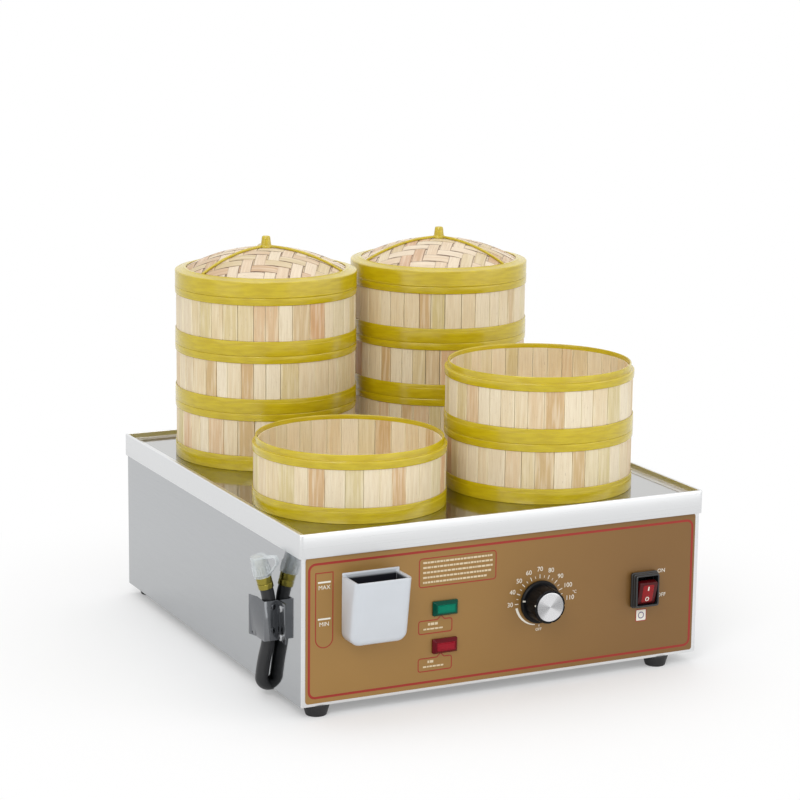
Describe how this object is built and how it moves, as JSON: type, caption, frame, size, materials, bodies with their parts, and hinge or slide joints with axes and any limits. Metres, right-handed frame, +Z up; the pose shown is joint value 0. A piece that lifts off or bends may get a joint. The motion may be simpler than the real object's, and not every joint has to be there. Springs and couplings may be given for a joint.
{
  "type": "electric bun steamer",
  "caption": "Countertop electric steamer: a steel water cabinet with a front control panel, side drain hose and bamboo baskets and woven lids stacked over the steam holes of its tray.",
  "frame": {"origin": "bottom centre of the whole object's box, at the height of the feet's undersides", "axes": "+Z up, +Y from the control panel towards the rear, +X towards the side of the switch"},
  "size_m": [0.4844, 0.544, 0.4246],
  "materials": {
    "polished_steel": "polished stainless sheet",
    "screw_steel": "plain machined steel",
    "element_steel": "dull steel",
    "bronze_overlay": "satin bronze with a thin red border",
    "black_rubber": "matte",
    "hose_rubber": "smooth, slightly glossy",
    "black_plastic": "moulded",
    "knob_plastic": "moulded, satin",
    "spun_aluminium": "radially brushed",
    "red_plastic": "translucent, unlit",
    "green_lens": "glossy lens, unlit",
    "red_lens": "glossy lens, unlit",
    "white_plastic": "moulded, glossy",
    "ivory_plastic": "moulded",
    "clear_plastic": "frosted clear",
    "brass": "turned",
    "hoop_plastic": "olive-yellow, satin",
    "bamboo": "split bamboo, unvarnished"
  },
  "bodies": {
    "machine": {"tray_top": "polished_steel", "body_shell": "polished_steel", "front_panel": "polished_steel", "front_overlay": "bronze_overlay", "bottom_plate": "polished_steel", "feet": "black_rubber", "screws": "screw_steel", "water_tank": "polished_steel", "heating_element": "element_steel", "thermostat_body": "black_plastic", "thermostat_probe": "element_steel", "switch_body": "black_plastic", "switch_boot": "black_rubber", "green_lamp": "green_lens", "red_lamp": "red_lens", "filler_box": "white_plastic", "filler_spout": "element_steel", "drain_elbow": "brass", "drain_hose": "hose_rubber", "hose_fitting": "brass", "hose_clip": "polished_steel", "cord_gland": "black_plastic", "terminal_block": "ivory_plastic", "dry_boil_cutout": "black_plastic"},
    "knob": {"knob_shaft": "screw_steel", "knob_grip": "knob_plastic", "knob_cap": "spun_aluminium"},
    "rocker": {"switch_rocker": "red_plastic"},
    "cap": {"drain_cap": "clear_plastic"},
    "front_left_basket_1": {"front_left_basket_1_hoops": "hoop_plastic", "front_left_basket_1_wall": "bamboo", "front_left_basket_1_floor": "bamboo"},
    "front_right_basket_1": {"front_right_basket_1_hoops": "hoop_plastic", "front_right_basket_1_wall": "bamboo", "front_right_basket_1_floor": "bamboo"},
    "front_right_basket_2": {"front_right_basket_2_hoops": "hoop_plastic", "front_right_basket_2_wall": "bamboo", "front_right_basket_2_floor": "bamboo"},
    "rear_left_basket_1": {"rear_left_basket_1_hoops": "hoop_plastic", "rear_left_basket_1_wall": "bamboo", "rear_left_basket_1_floor": "bamboo"},
    "rear_left_basket_2": {"rear_left_basket_2_hoops": "hoop_plastic", "rear_left_basket_2_wall": "bamboo", "rear_left_basket_2_floor": "bamboo"},
    "rear_left_basket_3": {"rear_left_basket_3_hoops": "hoop_plastic", "rear_left_basket_3_wall": "bamboo", "rear_left_basket_3_floor": "bamboo"},
    "rear_left_lid": {"rear_left_lid_frame": "hoop_plastic", "rear_left_lid_dome": "bamboo"},
    "rear_right_basket_1": {"rear_right_basket_1_hoops": "hoop_plastic", "rear_right_basket_1_wall": "bamboo", "rear_right_basket_1_floor": "bamboo"},
    "rear_right_basket_2": {"rear_right_basket_2_hoops": "hoop_plastic", "rear_right_basket_2_wall": "bamboo", "rear_right_basket_2_floor": "bamboo"},
    "rear_right_basket_3": {"rear_right_basket_3_hoops": "hoop_plastic", "rear_right_basket_3_wall": "bamboo", "rear_right_basket_3_floor": "bamboo"},
    "rear_right_lid": {"rear_right_lid_frame": "hoop_plastic", "rear_right_lid_dome": "bamboo"}
  },
  "joints": [
    {"name": "knob_turn", "type": "hinge", "parent": "machine", "child": "knob", "pos_m": [0.04977, -0.23755, 0.0894], "axis": [0, 1, 0], "range_deg": [-100, 170]},
    {"name": "rocker_tilt", "type": "hinge", "parent": "machine", "child": "rocker", "pos_m": [0.17277, -0.23555, 0.0888], "axis": [-1, 0, 0], "range_deg": [0, 26]},
    {"name": "drain_cap_pull", "type": "slide", "parent": "machine", "child": "cap", "axis": [-0.2631, -0.0117, 0.9647], "range_m": [0, 0.03]},
    {"name": "front_left_basket_1_lift", "type": "slide", "parent": "machine", "child": "front_left_basket_1", "axis": [0, 0, 1], "range_m": [0, 0.1]},
    {"name": "front_right_basket_1_lift", "type": "slide", "parent": "machine", "child": "front_right_basket_1", "axis": [0, 0, 1], "range_m": [0, 0.1]},
    {"name": "front_right_basket_2_lift", "type": "slide", "parent": "front_right_basket_1", "child": "front_right_basket_2", "axis": [0, 0, 1], "range_m": [0, 0.1]},
    {"name": "rear_left_basket_1_lift", "type": "slide", "parent": "machine", "child": "rear_left_basket_1", "axis": [0, 0, 1], "range_m": [0, 0.1]},
    {"name": "rear_left_basket_2_lift", "type": "slide", "parent": "rear_left_basket_1", "child": "rear_left_basket_2", "axis": [0, 0, 1], "range_m": [0, 0.1]},
    {"name": "rear_left_basket_3_lift", "type": "slide", "parent": "rear_left_basket_2", "child": "rear_left_basket_3", "axis": [0, 0, 1], "range_m": [0, 0.1]},
    {"name": "rear_left_lid_lift", "type": "slide", "parent": "rear_left_basket_3", "child": "rear_left_lid", "axis": [0, 0, 1], "range_m": [0, 0.12]},
    {"name": "rear_right_basket_1_lift", "type": "slide", "parent": "machine", "child": "rear_right_basket_1", "axis": [0, 0, 1], "range_m": [0, 0.1]},
    {"name": "rear_right_basket_2_lift", "type": "slide", "parent": "rear_right_basket_1", "child": "rear_right_basket_2", "axis": [0, 0, 1], "range_m": [0, 0.1]},
    {"name": "rear_right_basket_3_lift", "type": "slide", "parent": "rear_right_basket_2", "child": "rear_right_basket_3", "axis": [0, 0, 1], "range_m": [0, 0.1]},
    {"name": "rear_right_lid_lift", "type": "slide", "parent": "rear_right_basket_3", "child": "rear_right_lid", "axis": [0, 0, 1], "range_m": [0, 0.12]}
  ]
}
